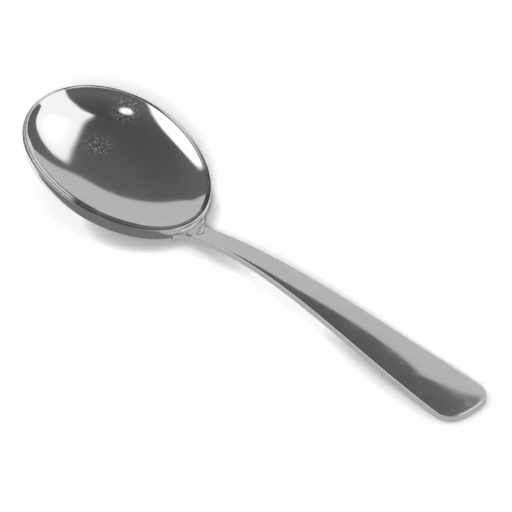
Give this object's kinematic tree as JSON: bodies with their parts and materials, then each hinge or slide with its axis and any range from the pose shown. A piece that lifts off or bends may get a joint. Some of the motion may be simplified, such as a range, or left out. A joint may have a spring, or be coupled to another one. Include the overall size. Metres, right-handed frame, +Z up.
{
  "type": "soup spoon",
  "caption": "Polished steel soup spoon: a shallow oval bowl with a rounded rim and a slim arched handle that widens to a blunt rounded end.",
  "frame": {"origin": "centre of the footprint, on the table that the bowl's underside and the handle's end rest on", "axes": "+X along the handle from the bowl's front to the handle's end, +Y across the spoon, +Z up out of the bowl"},
  "size_m": [0.185, 0.0452, 0.0205],
  "materials": {
    "polished_steel": "mirror polish with faint wear marks"
  },
  "bodies": {
    "root": {"bowl": "polished_steel", "handle": "polished_steel"}
  },
  "joints": []
}
